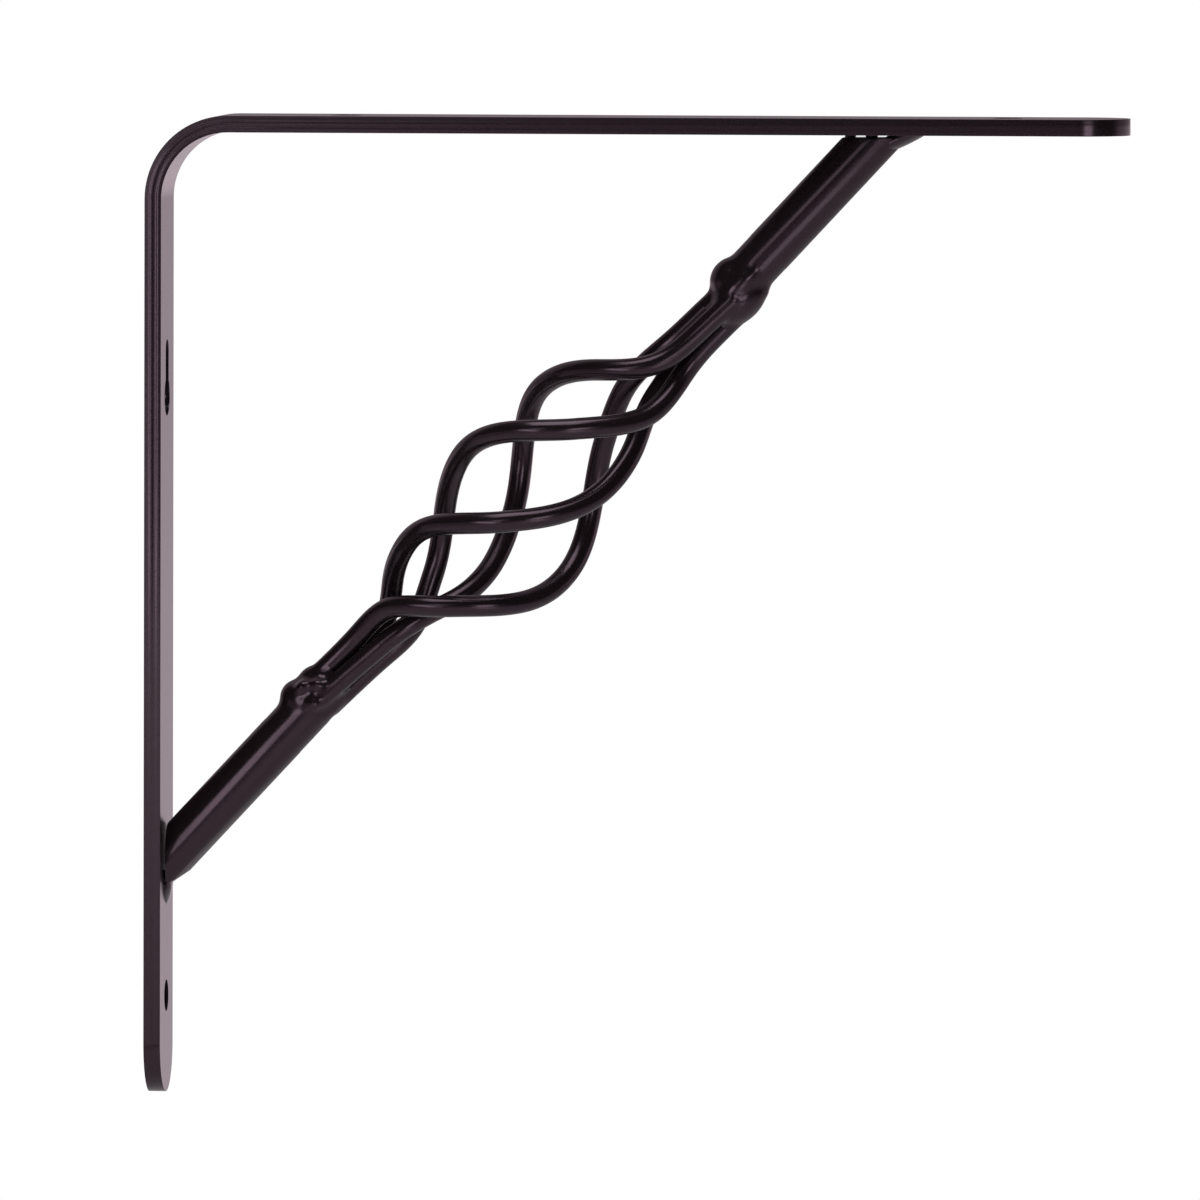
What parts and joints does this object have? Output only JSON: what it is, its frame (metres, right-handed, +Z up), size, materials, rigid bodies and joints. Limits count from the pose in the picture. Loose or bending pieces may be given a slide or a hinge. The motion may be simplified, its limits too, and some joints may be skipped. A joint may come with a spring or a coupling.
{
  "type": "decorative shelf bracket",
  "caption": "Right-angle shelf bracket: a bent flat steel strap with a wall arm and a shelf arm, and a diagonal brace with a basket of twisted round wires between two short round bars.",
  "frame": {"origin": "on the wall face of the wall arm, in the middle of its width, 100 mm below the shelf face", "axes": "+X out from the wall along the shelf arm, +Z up along the wall arm, +Y along the strap's width"},
  "size_m": [0.2, 0.0348, 0.1985],
  "materials": {
    "strap": "dark semi-gloss powder coat on steel",
    "lower_bar": "dark semi-gloss powder coat on steel",
    "upper_bar": "dark semi-gloss powder coat on steel",
    "basket_wire_1": "dark semi-gloss powder coat on steel",
    "basket_wire_2": "dark semi-gloss powder coat on steel",
    "basket_wire_3": "dark semi-gloss powder coat on steel",
    "basket_wire_4": "dark semi-gloss powder coat on steel",
    "lower_knuckle": "dark semi-gloss powder coat on weld metal",
    "upper_knuckle": "dark semi-gloss powder coat on weld metal",
    "lower_foot_weld": "dark semi-gloss powder coat on weld metal",
    "upper_foot_weld": "dark semi-gloss powder coat on weld metal"
  },
  "bodies": {
    "root": {"strap": "strap", "lower_bar": "lower_bar", "upper_bar": "upper_bar", "basket_wire_1": "basket_wire_1", "basket_wire_2": "basket_wire_2", "basket_wire_3": "basket_wire_3", "basket_wire_4": "basket_wire_4", "lower_knuckle": "lower_knuckle", "upper_knuckle": "upper_knuckle", "lower_foot_weld": "lower_foot_weld", "upper_foot_weld": "upper_foot_weld"}
  },
  "joints": []
}
